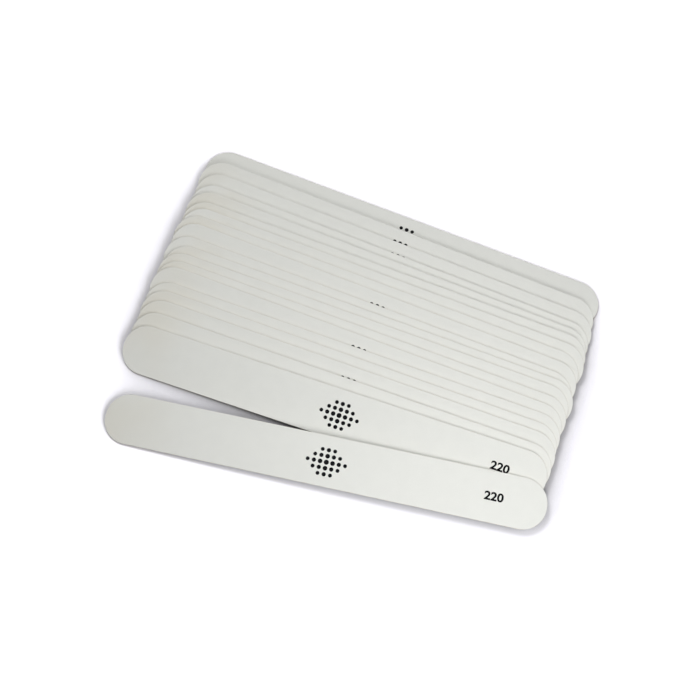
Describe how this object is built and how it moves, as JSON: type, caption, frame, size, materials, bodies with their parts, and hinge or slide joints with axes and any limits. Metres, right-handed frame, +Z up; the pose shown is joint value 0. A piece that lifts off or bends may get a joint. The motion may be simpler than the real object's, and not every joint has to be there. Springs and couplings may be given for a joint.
{
  "type": "emery board set",
  "caption": "Fanned set of loose, round-ended emery boards for filing nails; each board is a thin wood core faced on both sides with fine abrasive paper.",
  "frame": {"origin": "on the table, under the middle of the whole set", "axes": "+X along the boards of the fan, +Y to the back of the fan, +Z up from the table"},
  "size_m": [0.1836, 0.1354, 0.0068],
  "materials": {
    "abrasive_paper": "matte, fine grit, off-white",
    "core_wood": "raw pale wood, cut edge"
  },
  "bodies": {
    "board_01": {"board_01_lower_sheet": "abrasive_paper", "board_01_core": "core_wood", "board_01_upper_sheet": "abrasive_paper"},
    "board_02": {"board_02_lower_sheet": "abrasive_paper", "board_02_core": "core_wood", "board_02_upper_sheet": "abrasive_paper"},
    "board_03": {"board_03_lower_sheet": "abrasive_paper", "board_03_core": "core_wood", "board_03_upper_sheet": "abrasive_paper"},
    "board_04": {"board_04_lower_sheet": "abrasive_paper", "board_04_core": "core_wood", "board_04_upper_sheet": "abrasive_paper"},
    "board_05": {"board_05_lower_sheet": "abrasive_paper", "board_05_core": "core_wood", "board_05_upper_sheet": "abrasive_paper"},
    "board_06": {"board_06_lower_sheet": "abrasive_paper", "board_06_core": "core_wood", "board_06_upper_sheet": "abrasive_paper"},
    "board_07": {"board_07_lower_sheet": "abrasive_paper", "board_07_core": "core_wood", "board_07_upper_sheet": "abrasive_paper"},
    "board_08": {"board_08_lower_sheet": "abrasive_paper", "board_08_core": "core_wood", "board_08_upper_sheet": "abrasive_paper"},
    "board_09": {"board_09_lower_sheet": "abrasive_paper", "board_09_core": "core_wood", "board_09_upper_sheet": "abrasive_paper"},
    "board_10": {"board_10_lower_sheet": "abrasive_paper", "board_10_core": "core_wood", "board_10_upper_sheet": "abrasive_paper"},
    "board_11": {"board_11_lower_sheet": "abrasive_paper", "board_11_core": "core_wood", "board_11_upper_sheet": "abrasive_paper"},
    "board_12": {"board_12_lower_sheet": "abrasive_paper", "board_12_core": "core_wood", "board_12_upper_sheet": "abrasive_paper"},
    "board_13": {"board_13_lower_sheet": "abrasive_paper", "board_13_core": "core_wood", "board_13_upper_sheet": "abrasive_paper"},
    "board_14": {"board_14_lower_sheet": "abrasive_paper", "board_14_core": "core_wood", "board_14_upper_sheet": "abrasive_paper"},
    "board_15": {"board_15_lower_sheet": "abrasive_paper", "board_15_core": "core_wood", "board_15_upper_sheet": "abrasive_paper"},
    "board_16": {"board_16_lower_sheet": "abrasive_paper", "board_16_core": "core_wood", "board_16_upper_sheet": "abrasive_paper"},
    "board_17": {"board_17_lower_sheet": "abrasive_paper", "board_17_core": "core_wood", "board_17_upper_sheet": "abrasive_paper"},
    "board_18": {"board_18_lower_sheet": "abrasive_paper", "board_18_core": "core_wood", "board_18_upper_sheet": "abrasive_paper"},
    "board_19": {"board_19_lower_sheet": "abrasive_paper", "board_19_core": "core_wood", "board_19_upper_sheet": "abrasive_paper"},
    "board_20": {"board_20_lower_sheet": "abrasive_paper", "board_20_core": "core_wood", "board_20_upper_sheet": "abrasive_paper"}
  },
  "joints": [
    {"name": "board_02_draw", "type": "slide", "parent": "board_01", "child": "board_02", "axis": [1, 0, 0], "range_m": [0, 0.18]},
    {"name": "board_03_draw", "type": "slide", "parent": "board_01", "child": "board_03", "axis": [1, 0, 0], "range_m": [0, 0.18]},
    {"name": "board_04_draw", "type": "slide", "parent": "board_01", "child": "board_04", "axis": [1, 0, 0], "range_m": [0, 0.18]},
    {"name": "board_05_draw", "type": "slide", "parent": "board_01", "child": "board_05", "axis": [1, 0, 0], "range_m": [0, 0.18]},
    {"name": "board_06_draw", "type": "slide", "parent": "board_01", "child": "board_06", "axis": [1, 0, 0], "range_m": [0, 0.18]},
    {"name": "board_07_draw", "type": "slide", "parent": "board_01", "child": "board_07", "axis": [1, 0, 0], "range_m": [0, 0.18]},
    {"name": "board_08_draw", "type": "slide", "parent": "board_01", "child": "board_08", "axis": [1, 0, 0], "range_m": [0, 0.18]},
    {"name": "board_09_draw", "type": "slide", "parent": "board_01", "child": "board_09", "axis": [1, 0, 0], "range_m": [0, 0.18]},
    {"name": "board_10_draw", "type": "slide", "parent": "board_01", "child": "board_10", "axis": [1, 0, 0], "range_m": [0, 0.18]},
    {"name": "board_11_draw", "type": "slide", "parent": "board_01", "child": "board_11", "axis": [1, 0, 0], "range_m": [0, 0.18]},
    {"name": "board_12_draw", "type": "slide", "parent": "board_01", "child": "board_12", "axis": [1, 0, 0], "range_m": [0, 0.18]},
    {"name": "board_13_draw", "type": "slide", "parent": "board_01", "child": "board_13", "axis": [1, 0, 0], "range_m": [0, 0.18]},
    {"name": "board_14_draw", "type": "slide", "parent": "board_01", "child": "board_14", "axis": [1, 0, 0], "range_m": [0, 0.18]},
    {"name": "board_15_draw", "type": "slide", "parent": "board_01", "child": "board_15", "axis": [1, 0, 0], "range_m": [0, 0.18]},
    {"name": "board_16_draw", "type": "slide", "parent": "board_01", "child": "board_16", "axis": [1, 0, 0], "range_m": [0, 0.18]},
    {"name": "board_17_draw", "type": "slide", "parent": "board_01", "child": "board_17", "axis": [1, 0, 0], "range_m": [0, 0.18]},
    {"name": "board_18_draw", "type": "slide", "parent": "board_01", "child": "board_18", "axis": [1, 0, 0], "range_m": [0, 0.18]},
    {"name": "board_19_draw", "type": "slide", "parent": "board_01", "child": "board_19", "axis": [1, 0, 0], "range_m": [0, 0.18]},
    {"name": "board_20_draw", "type": "slide", "parent": "board_01", "child": "board_20", "axis": [-0.9877, -0.1564, 0], "range_m": [0, 0.18]}
  ]
}
